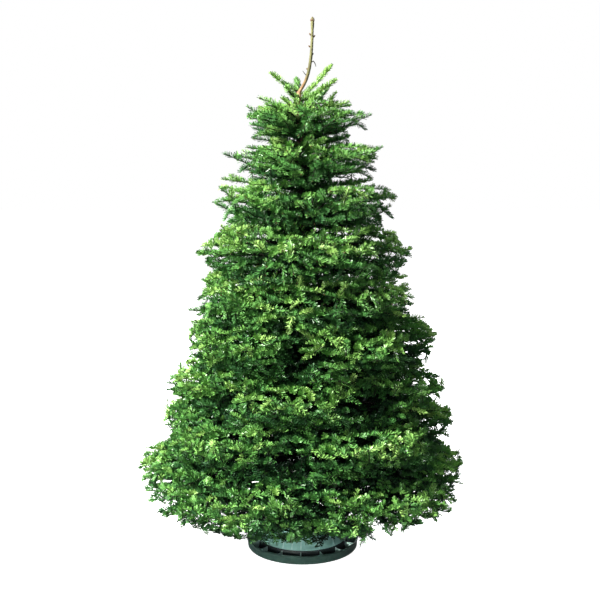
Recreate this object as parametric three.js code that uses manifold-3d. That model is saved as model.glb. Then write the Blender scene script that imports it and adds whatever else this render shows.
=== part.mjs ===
// A cut fir Christmas tree in a round moulded stand.
// Millimetres, +Z up, -Y is the front. The origin is the middle of the stand's flat underside.
// The crown is a stack of tiers. The top whorl is five single shoots, the three small tiers under it are
// lobed rings round the trunk, and each lower tier is a circle of separate fans, one for each bough.
import * as THREE from "three";
import { mergeVertices } from "three/addons/utils/BufferGeometryUtils.js";
import Module from "manifold-3d";

const wasm = await Module();
wasm.setup();

// ---------------------------------------------------------------- driving dimensions
const GAP = 0.4; // left between pieces that touch

const STAND = {
  radius: 222, // outside of the rim
  wall: 4,
  floor: 5,
  rimHeight: 35,
  lip: 3, // how far the rolled lip stands out
  domeRadius: 180, // foot of the dome, so a gutter about 34 wide runs round it
  domeShoulder: 40, // height of the gutter's inner wall, where the dome's ribs begin
  domeBrow: 146, // radius at which the dome's steep wall turns in towards the socket
  browHeight: 98,
  domeTop: 108, // height where the dome meets the socket
  ribs: 15,
  ribWidth: 3,
  ribRise: 2, // how far a rib stands proud of the dome
  firstRib: -2.3, // degrees from the front
  segments: 45,
};
const SOCKET = { inner: 50, wall: 5, height: 150, screws: 4, screwHeight: 128, screwRadius: 5, handle: 34 };

const TRUNK = {
  cut: STAND.floor + GAP, // height of the flat cut, just clear of the stand's floor
  butt: 28, // radius above the flare
  flare: 5,
  flareHeight: 60,
  crownTop: 1777, // height of the top whorl
  topRadius: 8.5,
  lean: -14, // sideways shift at the top whorl
  bow: 8, // forward bow at mid height
};
const LEADER = { top: 2050, base: 7, tip: 4.5, swing: 51, bend: 62, budRadius: 7, budHeight: 16 };

// The top whorl's shoots: height at the trunk, azimuth from +X, rise above level and length.
const SHOOT_RADIUS = 14;
const TOP_SHOOTS = [
  { height: 1742, azimuth: 6, rise: 47, length: 184 },
  { height: 1752, azimuth: 96, rise: 40, length: 130 },
  { height: 1774, azimuth: 176, rise: 34, length: 134 },
  { height: 1744, azimuth: 240, rise: 24, length: 112 },
  { height: 1738, azimuth: 328, rise: 25, length: 180 },
];

// In every tier below, height is where its boughs leave the trunk and tip is the height of their ends.
// The boughs to the right are longer than reach by the share lopsided, and those to the left shorter by it.
// Lobed rings:
const RINGS = [
  { tier: 2, height: 1648, tip: 1706, reach: 240, lopsided: 0.1, depth: 138, lobes: 5, turn: 12 },
  { tier: 3, height: 1492, tip: 1550, reach: 296, lopsided: 0.13, depth: 144, lobes: 5, turn: 26 },
  { tier: 4, height: 1322, tip: 1392, reach: 366, lopsided: 0.06, depth: 170, lobes: 5, turn: 20 },
];

// Fans. A bare bough carries each fan of the three lowest tiers: bare is the radius where its foliage begins.
const FANS = [
  { tier: 5, height: 1134, tip: 1200, reach: 410, lopsided: 0.06, depth: 186, count: 4, turn: 10 },
  { tier: 6, height: 954, tip: 1022, reach: 424, lopsided: 0.07, depth: 164, count: 4, turn: 58 },
  { tier: 7, height: 787, tip: 850, reach: 506, lopsided: 0.07, depth: 162, count: 5, turn: 14 },
  { tier: 8, height: 623, tip: 682, reach: 540, lopsided: 0.05, depth: 160, count: 5, turn: 50, bare: 100 },
  { tier: 9, height: 456, tip: 518, reach: 596, lopsided: 0.02, depth: 170, count: 5, turn: 14, bare: 120 },
  { tier: 10, height: 264, tip: 316, reach: 682, lopsided: 0, depth: 212, count: 5, turn: 22, bare: 140 },
];
const FOLIAGE_CLEARANCE = 12; // from the trunk to foliage that has no bare bough
const BOUGH = { root: 11, taper: 0.72 };

// ---------------------------------------------------------------- materials
const paint = (color, roughness) => new THREE.MeshStandardMaterial({ color, roughness, metalness: 0 });
const NEEDLES = paint(0x3f6b33, 0.6);
const YOUNG_NEEDLES = paint(0x6d9a4c, 0.6);
const BARK = paint(0x6e5f4c, 0.9);
const STAND_GREEN = paint(0x2f4740, 0.4);
const SCREW_STEEL = new THREE.MeshStandardMaterial({ color: 0x8b8f8d, roughness: 0.35, metalness: 0.9 });

// ---------------------------------------------------------------- helpers
const radians = THREE.MathUtils.degToRad;
const lerp = THREE.MathUtils.lerp;
const group = new THREE.Group();

function addMesh(name, geometry, material) {
  const mesh = new THREE.Mesh(geometry, material);
  mesh.name = name;
  group.add(mesh);
  return mesh;
}

// A repeatable number from 0 to 1 for each seed.
function chance(seed) {
  const wave = Math.sin(seed * 12.9898) * 43758.5453;
  return wave - Math.floor(wave);
}

// A smooth unevenness of about -1 to 1 over an angle and a share of the length.
function uneven(seed, angle, along) {
  const phase = 2 * Math.PI * chance(seed);
  return (
    0.5 * Math.sin(3 * angle + 7 * along + phase) + 0.5 * Math.sin(2 * angle - 13 * along + 2.3 * phase)
  );
}

// Moves each vertex of a geometry to where place(vertex) puts it.
function reshape(geometry, place) {
  const position = geometry.getAttribute("position");
  const vertex = new THREE.Vector3();
  for (let i = 0; i < position.count; i++) {
    vertex.fromBufferAttribute(position, i);
    vertex.copy(place(vertex));
    position.setXYZ(i, vertex.x, vertex.y, vertex.z);
  }
  geometry.deleteAttribute("normal");
  geometry.deleteAttribute("uv");
  return geometry;
}

// A cylinder reshaped by place(share of the length, angle round it, share of the radius).
function reshapedCylinder(sides, steps, place) {
  return reshape(new THREE.CylinderGeometry(1, 1, 1, sides, steps), (v) =>
    place(v.y + 0.5, Math.atan2(v.x, v.z), Math.hypot(v.x, v.z)),
  );
}

// A lathed solid about +Z. The profile is [radius, height] pairs that close on themselves or end on the axis.
function lathe(profile, segments) {
  const points = profile.map(([radius, height]) => new THREE.Vector2(radius, height));
  return new THREE.LatheGeometry(points, segments).rotateX(Math.PI / 2);
}

function toSolid(geometry) {
  geometry.deleteAttribute("normal");
  geometry.deleteAttribute("uv");
  const merged = mergeVertices(geometry, 1e-3);
  const solid = new wasm.Manifold(
    new wasm.Mesh({
      numProp: 3,
      vertProperties: merged.getAttribute("position").array,
      triVerts: new Uint32Array(merged.index.array),
    }),
  );
  return solid;
}

function toGeometry(solid) {
  const mesh = solid.getMesh();
  return new THREE.BufferGeometry()
    .setAttribute("position", new THREE.BufferAttribute(new Float32Array(mesh.vertProperties), 3))
    .setIndex(new THREE.BufferAttribute(new Uint32Array(mesh.triVerts), 1));
}

// ---------------------------------------------------------------- trunk and leader
// The trunk's centre at a height: a slight lean and bow, then the leader's swing to the right.
function trunkCentre(height) {
  const share = Math.min(height / TRUNK.crownTop, 1);
  const above = Math.max(height - TRUNK.crownTop, 0);
  const swing = LEADER.swing * (1 - Math.exp(-above / LEADER.bend));
  return new THREE.Vector3(TRUNK.lean * share ** 1.5 + swing, -TRUNK.bow * Math.sin(Math.PI * share), height);
}

function trunkRadius(height) {
  if (height > TRUNK.crownTop) {
    const share = (height - TRUNK.crownTop) / (LEADER.top - TRUNK.crownTop);
    const bud = Math.exp(-(((height - LEADER.top + LEADER.budHeight) / LEADER.budHeight) ** 2));
    return lerp(LEADER.base, LEADER.tip, share) + bud * (LEADER.budRadius - LEADER.tip);
  }
  const flare = TRUNK.flare * Math.exp(-height / TRUNK.flareHeight);
  return lerp(TRUNK.butt, TRUNK.topRadius, height / TRUNK.crownTop) + flare;
}

function makeTrunk() {
  const sides = 10;
  const steps = 24;
  const trunkShare = 0.5; // half of the steps are in the trunk, and the other half in the leader
  const geometry = reshapedCylinder(sides, steps, (along, angle, out) => {
    const height =
      along < trunkShare
        ? lerp(TRUNK.cut, TRUNK.crownTop, along / trunkShare)
        : lerp(TRUNK.crownTop, LEADER.top, (along - trunkShare) / (1 - trunkShare));
    const centre = trunkCentre(height);
    const radius = trunkRadius(height) * out;
    return centre.add(new THREE.Vector3(radius * Math.cos(angle), radius * Math.sin(angle), 0));
  });
  addMesh("trunk", geometry, BARK);
}

// ---------------------------------------------------------------- crown
// A point beside the trunk: out along an azimuth, sideways across it, and at a height.
function crownPoint(attach, azimuth, out, across, height) {
  const centre = trunkCentre(attach);
  const angle = radians(azimuth);
  return new THREE.Vector3(
    centre.x + out * Math.cos(angle) - across * Math.sin(angle),
    centre.y + out * Math.sin(angle) + across * Math.cos(angle),
    height,
  );
}

// The height of a bough's middle line at a share of its reach: it climbs, then levels off.
function boughHeight(tier, share) {
  return lerp(tier.height, tier.tip, Math.sin((Math.PI / 2) * Math.min(share, 1)));
}

// How far a tier reaches along an azimuth.
function tierReach(tier, azimuth) {
  return tier.reach * (1 + tier.lopsided * Math.cos(radians(azimuth)));
}

// One shoot of the top whorl: a blunt finger of needles.
function makeTopShoot(shoot, number) {
  const rise = radians(shoot.rise);
  const clear = 5; // room for the leader, which leans out over the shoots
  const foot = trunkRadius(shoot.height) / Math.cos(rise) + SHOOT_RADIUS * Math.tan(rise) + clear;
  const geometry = reshapedCylinder(8, 5, (along, angle, out) => {
    const blunt = Math.sqrt(Math.sin(Math.PI * (0.08 + 0.86 * along)));
    const radius = SHOOT_RADIUS * out * blunt * (1 + 0.12 * uneven(number, angle, along));
    const distance = foot + (shoot.length - foot) * along;
    const up = radius * Math.sin(angle);
    return crownPoint(
      shoot.height,
      shoot.azimuth,
      distance * Math.cos(rise) - up * Math.sin(rise),
      radius * Math.cos(angle),
      shoot.height + distance * Math.sin(rise) + up * Math.cos(rise),
    );
  });
  addMesh(`foliage_top_shoot_${number}`, geometry, YOUNG_NEEDLES);
}

// One small tier as a lobed ring round the trunk, with a lobe for each bough.
function makeRing(ring) {
  const inner = trunkRadius(ring.height) + FOLIAGE_CLEARANCE;
  const half = ring.depth / 2;
  const profile = [
    [0, -0.8],
    [0.4, -1],
    [0.78, -0.86],
    [1, -0.1],
    [0.88, 0.55],
    [0.5, 0.9],
    [0, 0.8],
    [0, -0.8],
  ];
  const lobeSegments = 5;
  const geometry = lathe(profile.map(([out, up]) => [1 + out, up]), lobeSegments * ring.lobes);
  const placed = reshape(geometry, (v) => {
    const angle = Math.atan2(v.y, v.x);
    const out = Math.hypot(v.x, v.y) - 1;
    const lobe = Math.cos(ring.lobes * (angle - radians(ring.turn)));
    const nearest = Math.round((ring.lobes * (angle - radians(ring.turn))) / (2 * Math.PI));
    const own = 0.08 * (chance(ring.tier + 10 * ((nearest + ring.lobes) % ring.lobes)) - 0.5);
    const azimuth = THREE.MathUtils.radToDeg(angle);
    const reach = tierReach(ring, azimuth) * (0.86 + 0.14 * lobe + own * (0.5 + 0.5 * lobe));
    const distance = lerp(inner, reach, out);
    const share = distance / ring.reach;
    const bump = 1 + 0.12 * out * uneven(ring.tier, 2 * angle, out);
    const height = boughHeight(ring, share) + half * v.z * bump * (1 - 0.15 * out * (1 - lobe));
    return crownPoint(ring.height, azimuth, distance, 0, height);
  });
  addMesh(`foliage_tier_${ring.tier}`, placed, NEEDLES);
}

// One bough's fan of foliage: narrow at the trunk, widest towards its rounded outer edge.
function makeFan(fan, number) {
  const azimuth = fan.turn + (360 / fan.count) * number + 5 * (chance(fan.tier * 31 + number) - 0.5);
  const seed = fan.tier * 7 + number * 3;
  const reach = tierReach(fan, azimuth) * (1 - 0.05 * chance(seed + 1));
  const inner = fan.bare ?? trunkRadius(fan.height) + FOLIAGE_CLEARANCE;
  const spread = Math.tan(Math.PI / fan.count) * 0.9;
  const geometry = reshapedCylinder(10, 6, (along, angle, out) => {
    const distance = lerp(inner, reach, along);
    const share = distance / reach;
    const rounded = Math.sqrt(Math.max(1 - share ** 6, 0.02));
    const width = distance * spread * rounded * (1 + 0.07 * uneven(seed, 0, 1.5 * along));
    const swell = 0.55 + 0.41 * Math.sin(Math.PI * Math.min(1, 0.24 + 0.7 * along));
    const depth = (fan.depth / 2) * swell * (1 + 0.1 * uneven(seed + 2, angle, along));
    const across = width * out * Math.cos(angle);
    const up = depth * out * Math.sign(Math.sin(angle)) * Math.abs(Math.sin(angle)) ** 0.75;
    const droop = (fan.depth / 6) * (across / (reach * spread)) ** 2; // side shoots hang a little
    return crownPoint(fan.height, azimuth, distance, across, boughHeight(fan, share) + up - droop);
  });
  addMesh(`foliage_tier_${fan.tier}_${number + 1}`, geometry, NEEDLES);
  if (fan.bare) makeBough(fan, number, azimuth, inner);
}

// The bare stretch of one bough, from the trunk to where it enters its fan.
function makeBough(fan, number, azimuth, inner) {
  const root = trunkRadius(fan.height) + GAP;
  const end = inner - GAP;
  const geometry = reshapedCylinder(8, 3, (along, angle, out) => {
    const distance = lerp(root, end, along);
    const radius = BOUGH.root * lerp(1, BOUGH.taper, along) * out;
    const height = boughHeight(fan, distance / fan.reach) + radius * Math.sin(angle);
    return crownPoint(fan.height, azimuth, distance, radius * Math.cos(angle), height);
  });
  addMesh(`bough_tier_${fan.tier}_${number + 1}`, geometry, BARK);
}

// ---------------------------------------------------------------- stand
function ribAzimuths() {
  return Array.from({ length: STAND.ribs }, (_, i) => -90 + STAND.firstRib + (360 / STAND.ribs) * i);
}

// The tray is in two pieces: its flat base, and the low wall with a rolled lip on the base's edge.
function makeTray() {
  const { radius, wall, floor, rimHeight, lip, segments } = STAND;
  const base = [
    [0, 0],
    [radius - 8, 0],
    [radius - 5, 2],
    [radius - 4, floor],
    [0, floor],
  ];
  addMesh("stand_base", toGeometry(toSolid(lathe(base, segments))), STAND_GREEN);
  const foot = floor + GAP;
  const rim = [
    [radius - 4 - wall, foot],
    [radius - 4, foot],
    [radius - lip, rimHeight - 8],
    [radius, rimHeight - 6],
    [radius, rimHeight - 2],
    [radius - 2, rimHeight],
    [radius - lip - wall, rimHeight],
    [radius - 4 - wall, foot],
  ];
  addMesh("stand_rim", toGeometry(toSolid(lathe(rim, segments))), STAND_GREEN);
}

// The dome: a shell with a steep wall and a nearly level top. Raised ribs climb its wall.
function makeDome() {
  const { domeRadius, domeShoulder, domeBrow, browHeight, domeTop, ribWidth, ribRise } = STAND;
  const { floor, wall, segments } = STAND;
  const inner = SOCKET.inner + SOCKET.wall + GAP;
  const foot = floor + GAP;
  const shoulder = domeRadius - 6; // radius at the shoulder
  const profile = [
    [domeRadius, foot],
    [shoulder, domeShoulder],
    [domeBrow, browHeight],
    [inner, domeTop],
    [inner, domeTop - wall],
    [domeBrow - wall, browHeight - wall],
    [domeRadius - wall - 1, foot],
    [domeRadius, foot],
  ];
  let dome = toSolid(lathe(profile, segments));
  const rib = new THREE.Shape();
  rib.moveTo(shoulder - 2, domeShoulder - 6);
  rib.lineTo(shoulder + ribRise, domeShoulder);
  rib.lineTo(domeBrow + ribRise, browHeight);
  rib.lineTo(domeBrow - 2, browHeight - 2);
  rib.closePath();
  for (const azimuth of ribAzimuths()) {
    const bar = new THREE.ExtrudeGeometry(rib, { depth: ribWidth, bevelEnabled: false, steps: 1 });
    bar.translate(0, 0, -ribWidth / 2).rotateX(Math.PI / 2).rotateZ(radians(azimuth));
    dome = dome.add(toSolid(bar));
  }
  addMesh("stand_dome", toGeometry(dome), STAND_GREEN);
}

// The socket: an open tube that stands on the tray's floor round the trunk, with a hole for each screw.
function makeSocket() {
  const { inner, wall, height, screws, screwHeight, screwRadius } = SOCKET;
  const foot = STAND.floor + GAP;
  const profile = [
    [inner, foot],
    [inner + wall, foot],
    [inner + wall, height - 12],
    [inner + wall + 4, height - 10],
    [inner + wall + 4, height],
    [inner, height],
    [inner, foot],
  ];
  let socket = toSolid(lathe(profile, 24));
  for (let i = 0; i < screws; i++) {
    const hole = new THREE.CylinderGeometry(screwRadius + GAP, screwRadius + GAP, 60, 8);
    hole.rotateZ(Math.PI / 2).translate(inner, 0, screwHeight).rotateZ(screwAngle(i));
    socket = socket.subtract(toSolid(hole));
  }
  addMesh("stand_socket", toGeometry(socket), STAND_GREEN);
}

function screwAngle(number) {
  return Math.PI / SOCKET.screws + (2 * Math.PI * number) / SOCKET.screws;
}

// A clamp screw: a shaft from the trunk out through the socket, with a wing handle on its end.
function makeScrew(number) {
  const { screwHeight, screwRadius, inner, wall, handle: handleLength } = SOCKET;
  const centre = trunkCentre(screwHeight);
  const angle = screwAngle(number);
  const towardsTrunk = centre.x * Math.cos(angle) + centre.y * Math.sin(angle);
  const tip = trunkRadius(screwHeight) + towardsTrunk + 1.5;
  const end = inner + wall + 34;
  const shaft = new THREE.CylinderGeometry(screwRadius, screwRadius, end - tip, 10);
  shaft.rotateZ(Math.PI / 2).translate((tip + end) / 2, 0, screwHeight);
  const handle = new THREE.CylinderGeometry(4, 4, handleLength, 8).rotateX(Math.PI / 2);
  handle.translate(end - 5, 0, screwHeight);
  const solid = toSolid(shaft).add(toSolid(handle));
  addMesh(`stand_screw_${number + 1}`, toGeometry(solid).rotateZ(angle), SCREW_STEEL);
}

// ---------------------------------------------------------------- the whole tree
makeTray();
makeDome();
makeSocket();
for (let i = 0; i < SOCKET.screws; i++) makeScrew(i);
makeTrunk();
TOP_SHOOTS.forEach((shoot, i) => makeTopShoot(shoot, i + 1));
RINGS.forEach(makeRing);
for (const fan of FANS) {
  for (let i = 0; i < fan.count; i++) makeFan(fan, i);
}

export default group;
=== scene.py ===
"""A cut fir Christmas tree in a round moulded stand.

The CAD masses give the crown's outline. Here each one is replaced by boughs that branch by a seeded rule
inside it, and by needles set along their shoots. Metres, +Z up, -Y is the front.
"""

import copy
import math

import bpy
import numpy as np
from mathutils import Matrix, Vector, noise


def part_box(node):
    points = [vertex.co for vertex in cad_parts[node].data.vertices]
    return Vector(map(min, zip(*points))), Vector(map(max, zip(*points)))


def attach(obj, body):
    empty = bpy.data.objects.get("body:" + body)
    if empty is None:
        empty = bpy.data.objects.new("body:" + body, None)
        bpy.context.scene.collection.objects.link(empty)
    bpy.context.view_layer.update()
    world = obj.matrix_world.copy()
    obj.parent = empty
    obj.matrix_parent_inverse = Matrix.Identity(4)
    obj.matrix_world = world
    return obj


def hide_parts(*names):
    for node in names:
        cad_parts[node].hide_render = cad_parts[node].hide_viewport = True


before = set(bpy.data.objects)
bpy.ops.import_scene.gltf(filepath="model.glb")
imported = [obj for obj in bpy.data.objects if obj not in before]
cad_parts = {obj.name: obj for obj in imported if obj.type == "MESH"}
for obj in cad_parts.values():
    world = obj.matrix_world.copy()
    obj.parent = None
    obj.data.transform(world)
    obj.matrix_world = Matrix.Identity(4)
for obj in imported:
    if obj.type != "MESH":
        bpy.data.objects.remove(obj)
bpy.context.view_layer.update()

# ---------------------------------------------------------------- named sizes
SEED = 20
NEEDLE_TOTAL = 395_000
PIECE_TRIANGLES = 190_000
GOLDEN = 0.618034
UP = np.array([0.0, 0.0, 1.0])

# How the tree grows at its foot and at its top. Values between are blended by height.
FOOT_STYLE = {
    "annual": 0.058,  # length of one year's shoot
    "shortest": 0.026,  # no side shoot is shorter
    "needle": 0.0182,
    "needle_width": 0.0047,
    "lean": 58.0,  # degrees between a needle and its shoot
    "spread": 105.0,  # degrees either side of the top that needles reach round a shoot
    "upswept": 0.2,
    "rise": -0.02,  # how much shoots turn up towards their ends
    "droop": 0.06,  # how far side shoots hang below the bough that bears them
    "hang": 0.01,  # how far a bough's end sinks
}
TOP_STYLE = {
    "annual": 0.1,
    "shortest": 0.045,
    "needle": 0.0185,
    "needle_width": 0.0027,
    "lean": 60.0,
    "spread": 150.0,
    "upswept": 0.26,
    "rise": 0.03,
    "droop": 0.06,
    "hang": 0.0,
}
STYLE_FOOT_HEIGHT = 0.5
STYLE_TOP_HEIGHT = 1.6

# Boughs in each mass: azimuth offset as a share of its half width, layer as a share of its half depth, reach.
FAN_BOUGHS = [
    (0.0, 0.75, 0.88),
    (-0.56, 0.34, 0.95),
    (0.54, 0.26, 0.96),
    (0.0, -0.15, 1.0),
    (-0.6, -0.55, 0.95),
    (0.6, -0.6, 0.95),
    (0.04, -0.92, 0.9),
]
LOBE_BOUGHS = [
    (0.0, 0.7, 0.8),
    (-0.55, 0.3, 0.9),
    (0.5, 0.25, 0.88),
    (0.0, -0.1, 1.0),
    (-0.5, -0.55, 0.92),
    (0.55, -0.6, 0.92),
    (0.05, -1.0, 0.9),
    (-0.6, -1.1, 0.8),
    (0.6, -1.1, 0.8),
]
# Boughs between the fans of a tier: the tier, and how far above its fans they grow.
GAPS = [(7, 0.085), (8, 0.085), (9, 0.085), (10, 0.09), (10, 0.0)]
GAP_REACH = 0.94
GAP_LIFT_SPREAD = 0.03
GAP_BOUGHS = [(0.35, 0.7, 0.9), (-0.4, 0.3, 1.0), (0.1, -0.2, 1.0), (-0.15, -0.75, 0.95), (0.45, -0.6, 0.96)]
# Layers of a mass that its filling sprays keep to.
FAN_PLATES = (-1.3, -0.95, -0.6, -0.25, 0.1, 0.45, 0.8, 1.1)
LOBE_PLATES = (-1.42, -1.0, -0.6, -0.2, 0.2, 0.6)
LATERAL_ANGLE = 50.0
SKIPPED = (0.28, 0.42)  # share of side axes that never grew, by the order of the axis that bears them
LAST_ORDER = 2
FILL_NEAR = 0.34  # a spray starts when the nearest shoot is between these shares of a year's growth away
FILL_FAR = 2.4
FILL_TRIES = 8500  # for each square metre that a mass covers
INNER_SPACING = 1.5  # how much further apart sprays are at the trunk than at the crown's edge
EDGE = 0.02  # needles reach this far beyond the last shoot end
TOP_ROUNDING = 0.22  # how far a mass's top and bottom layers stand back from its edge
FOOT_ROUNDING = 0.1
UNDERSIDE = 0.214  # the crown's lowest shoots near the trunk, and how they rise further out and to the right
UNDERSIDE_RISE = 0.2
UNDERSIDE_TURN = 0.5
UNDERSIDE_TILT = 0.03
SLOPED_TIER = "foliage_tier_5"  # its fans slope down from their middle, which leaves the waist above it clear
SLOPE = 0.045
BARE_DEPTH = 0.42  # deeper than this inside the crown no side axes grow
TWIG_TIP = 0.0012

# Axes by their order: boughs, the axes on them, and the axes on those.
AXIS_RADIUS = (0.0085, 0.0036, 0.0022)
AXIS_LENGTH = (0.7, 0.4, 0.2)  # an axis's length over this is added to its slenderness
AXIS_SIDES = (8, 4, 3)
AXIS_GROWTH = (1.0, 0.85, 0.72)  # a year's growth as a share of the style's
SLENDER = 0.45  # share of the radius that the very shortest axis has
WANDER = 0.045  # how much an axis turns at random each year
SIDE_PLACES = ((0.0, 1.0), (0.5, 0.62))  # share of a year's shoot where side axes stand, and their vigour
BARE_FOOT = 0.1  # share of an axis, from its foot, that bears none
LATERAL_SPREAD = 6
SIDE_TAPER = 0.5  # length of a side axis as a share of what is left of its bearer
SIDE_LEAST = 0.42  # and the share of a year's growth that comes on top

# Boughs.
SUNK_SHARE = 0.7  # what leaves the trunk starts at this share of its radius
BOUGH_REACHES = (0.97, 1.02)
FOOT_LAYER = 0.6  # share of its layer's height that a bough has at the trunk,
LAYER_GAIN = 0.32  # and what it gains further out
SWAY = 0.006  # how far boughs waver sideways and up
HEAVE = 0.004

# Filling sprays.
OUTER_BIAS = 1.3  # a power: above 1, more of them start near the crown's edge
FAN_FILL = 0.8  # share of a fan's length, from its edge, that they fill
PLATE_SPREAD = 0.06
OUTWARD_PULL = 0.45

# How a mass is measured.
MASS_STEPS = 7
TIP_BAND = 0.05
SLICE_HALF = 0.6  # half a slice's thickness, as a share of the step between slices
ROOM_STEP = 0.01
LOBES = 5

# Shoots that stand out beyond their tier: height at the trunk, azimuth, rise above level and length.
LONG_SHOOTS = [
    (1.613, 178, 28, 0.22),
    (1.584, 2, 22, 0.282),
    (1.692, 5, 8, 0.185),
    (1.43, 358, 22, 0.33),
    (1.44, 182, 16, 0.3),
    (1.7, 20, 36, 0.13),
    (1.715, 350, 42, 0.12),
    (1.66, 4, 44, 0.17),
    (1.63, 8, 40, 0.2),
    (1.7, 205, 40, 0.08),
    (1.71, 150, 32, 0.08),
    (1.705, 318, 30, 0.1),
    (1.7, 262, 24, 0.09),
    (1.64, 40, 38, 0.2),
    (1.6, 250, 20, 0.2),
    (1.62, 300, 26, 0.19),
    (1.57, 340, 6, 0.19),
    (1.565, 300, 2, 0.18),
    (1.57, 20, 4, 0.17),
    (1.57, 235, 4, 0.16),
    (1.41, 350, 8, 0.26),
    (1.405, 318, 2, 0.24),
    (1.41, 192, 8, 0.29),
    (1.415, 216, 2, 0.24),
    (1.415, 268, 2, 0.22),
    (1.42, 20, 4, 0.25),
]
SPRIG_STEP = 0.007  # spacing of the sprigs on the trunk between the whorls
SPRIG_LOWEST = 0.9
SPRIG_HIGHEST = 1.71
PALE_TRUNK = 1.61  # above this the front of the trunk is free of sprigs
PALE_FRONT = -0.3  # the front is where the sine of the azimuth is below this

rng = np.random.default_rng(SEED)


# ---------------------------------------------------------------- helpers
def unit(vector):
    return vector / np.linalg.norm(vector)


def units(vectors):
    return vectors / np.linalg.norm(vectors, axis=1)[:, None]


def node_points(name):
    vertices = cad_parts[name].data.vertices
    points = np.zeros(len(vertices) * 3)
    vertices.foreach_get("co", points)
    return points.reshape(-1, 3)


def mesh_piece(name, vertices, faces, materials, material_index=None, smooth=True):
    """A mesh object from an array of vertices and an array of faces that all have the same corner count."""
    mesh = bpy.data.meshes.new(name)
    corners = faces.shape[1]
    mesh.vertices.add(len(vertices))
    mesh.vertices.foreach_set("co", np.asarray(vertices, np.float32).ravel())
    mesh.loops.add(faces.size)
    mesh.loops.foreach_set("vertex_index", np.asarray(faces, np.int32).ravel())
    mesh.polygons.add(len(faces))
    mesh.polygons.foreach_set("loop_start", np.arange(0, faces.size, corners, dtype=np.int32))
    for material in materials:
        mesh.materials.append(material)
    if material_index is not None:
        mesh.polygons.foreach_set("material_index", np.asarray(material_index, np.int32))
    mesh.polygons.foreach_set("use_smooth", np.full(len(faces), smooth))
    mesh.update(calc_edges=True)
    mesh.validate()
    piece = bpy.data.objects.new(name, mesh)
    bpy.context.scene.collection.objects.link(piece)
    return piece


def tube(points, radii, sides):
    """Vertices and quads of a tapering tube along a line of points, with its two ends left open."""
    points = np.asarray(points)
    along = np.gradient(points, axis=0)
    along = units(along)
    reference = np.array([0.0, 0.0, 1.0]) if abs(along[0][2]) < 0.9 else np.array([1.0, 0.0, 0.0])
    side = units(np.cross(along, reference))
    top = np.cross(side, along)
    angles = np.linspace(0, 2 * math.pi, sides, endpoint=False)
    ring = side[:, None] * np.cos(angles)[None, :, None] + top[:, None] * np.sin(angles)[None, :, None]
    vertices = points[:, None] + ring * np.asarray(radii)[:, None, None]
    return vertices.reshape(-1, 3), grid_faces(len(points), sides)


def grid_faces(rows, columns):
    """Quads of a grid of rows whose columns close into a loop."""
    row, column = np.meshgrid(np.arange(rows - 1), np.arange(columns), indexing="ij")
    after = (column + 1) % columns
    here = row * columns
    above = here + columns
    return np.stack([here + column, here + after, above + after, above + column], axis=-1).reshape(-1, 4)


class Bundle:
    """Many small shapes gathered into one mesh."""

    def __init__(self):
        self.vertices = []
        self.faces = []
        self.count = 0

    def add(self, vertices, faces):
        self.vertices.append(vertices)
        self.faces.append(faces + self.count)
        self.count += len(vertices)

    def piece(self, name, materials):
        return mesh_piece(name, np.concatenate(self.vertices), np.concatenate(self.faces), materials)


# ---------------------------------------------------------------- the trunk's line, read from the CAD
trunk_points = node_points("trunk")
trunk_levels = np.unique(np.round(trunk_points[:, 2], 3))
trunk_rings = [trunk_points[np.abs(trunk_points[:, 2] - level) < 0.001] for level in trunk_levels]
ring_middles = np.array([(ring[:, :2].max(0) + ring[:, :2].min(0)) / 2 for ring in trunk_rings])
ring_radii = np.array([np.ptp(ring[:, 0]) / 2 for ring in trunk_rings])


def trunk_centre(height):
    x = np.interp(height, trunk_levels, ring_middles[:, 0])
    y = np.interp(height, trunk_levels, ring_middles[:, 1])
    return np.stack([x, y, np.asarray(height, float) + 0 * x], axis=-1)


def trunk_radius(height):
    return np.interp(height, trunk_levels, ring_radii)


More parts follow.
